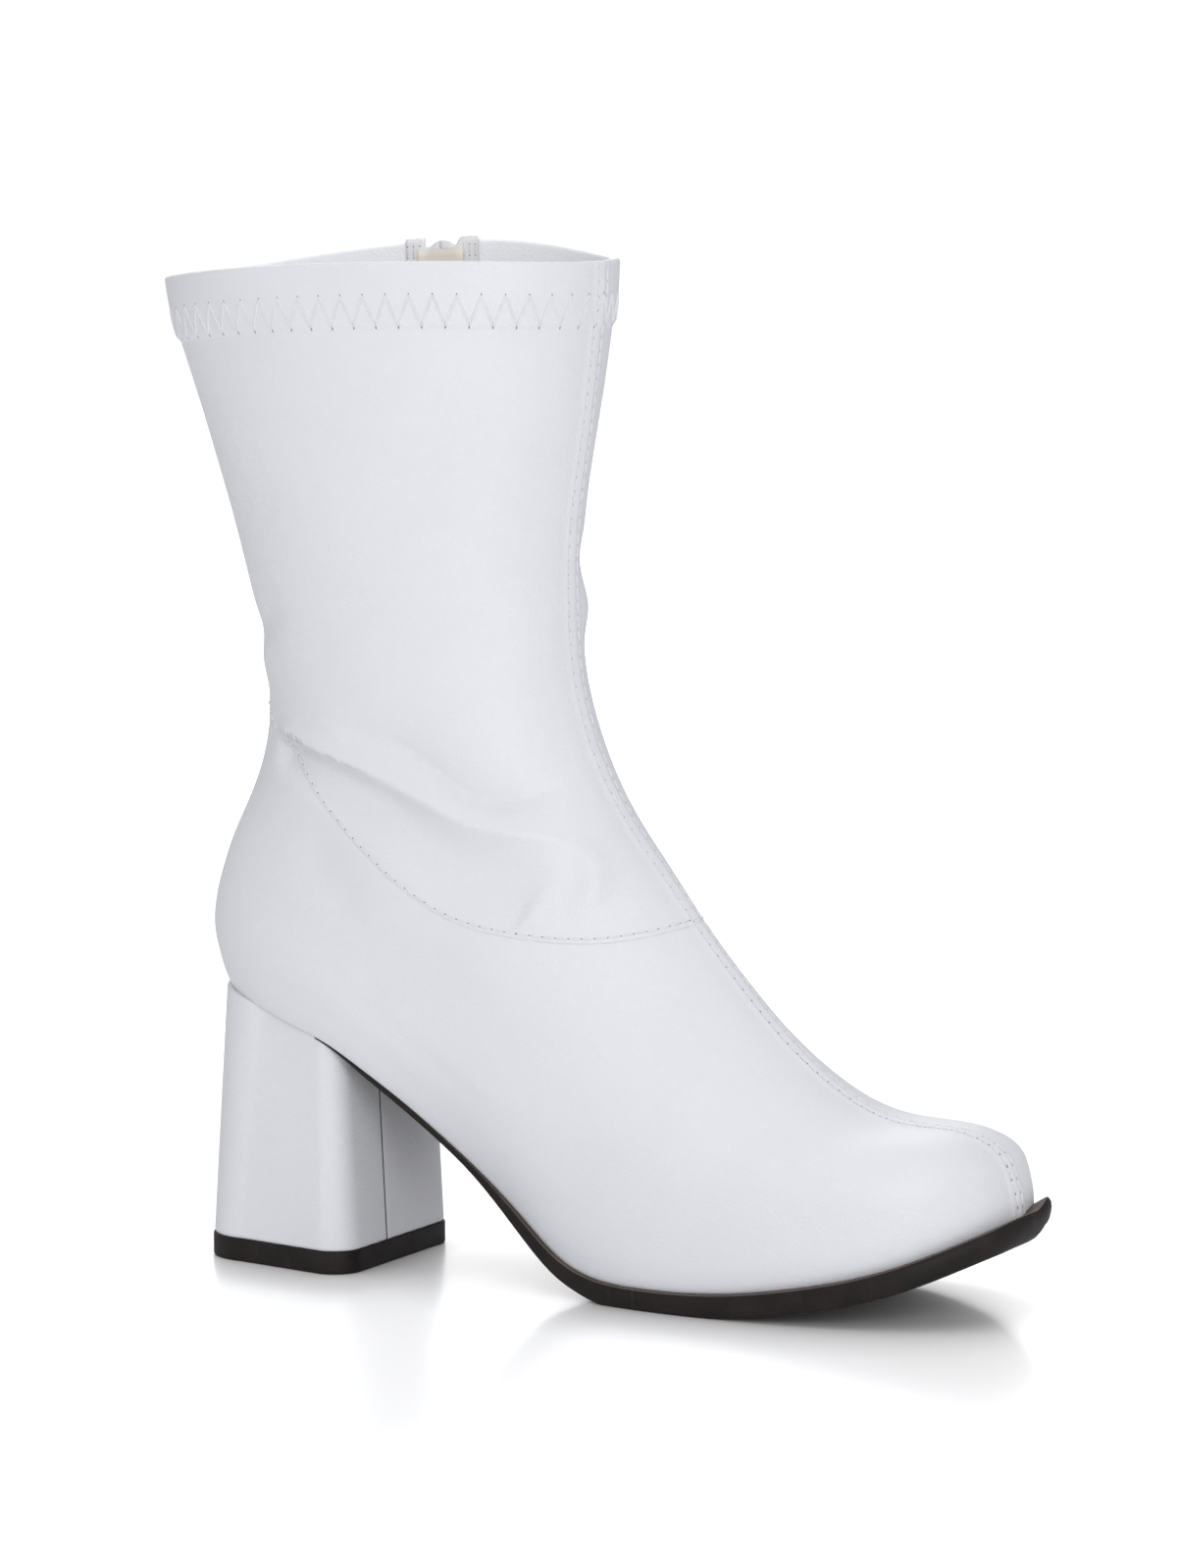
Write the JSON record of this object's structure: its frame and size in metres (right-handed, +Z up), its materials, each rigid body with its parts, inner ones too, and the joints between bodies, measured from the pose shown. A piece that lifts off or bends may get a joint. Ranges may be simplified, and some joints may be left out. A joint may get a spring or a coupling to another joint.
{
  "type": "costume boot",
  "caption": "White mid-calf costume boot for the right foot with a covered block heel, black sole, rounded toe and a zip on the inner side.",
  "frame": {"origin": "centre of the boot's bounding box in plan, on the floor it stands on", "axes": "+X towards the toe, +Y towards the inner (zip) side, +Z up"},
  "size_m": [0.2561, 0.0871, 0.2763],
  "materials": {
    "upper_white": "soft satin grain",
    "sole_black": "matte moulded",
    "lining_beige": "knitted lining",
    "zip_tape": "woven tape",
    "zip_plastic": "coil",
    "zip_metal": "nickel plate"
  },
  "bodies": {
    "boot": {"outsole": "sole_black", "heel": "upper_white", "heel_top_piece": "sole_black", "insole": "lining_beige", "upper": "upper_white", "shaft": "upper_white", "zip_tape_front": "zip_tape", "zip_tape_back": "zip_tape", "zip_chain": "zip_plastic", "zip_slider": "zip_metal", "zip_guard": "lining_beige"},
    "pull_tab": {"zip_pull": "zip_metal"}
  },
  "joints": [
    {"name": "pull_tab_swing", "type": "hinge", "parent": "boot", "child": "pull_tab", "pos_m": [-0.06753, 0.0418, 0.26329], "axis": [1, 0, 0], "range_deg": [-4, 160]}
  ]
}
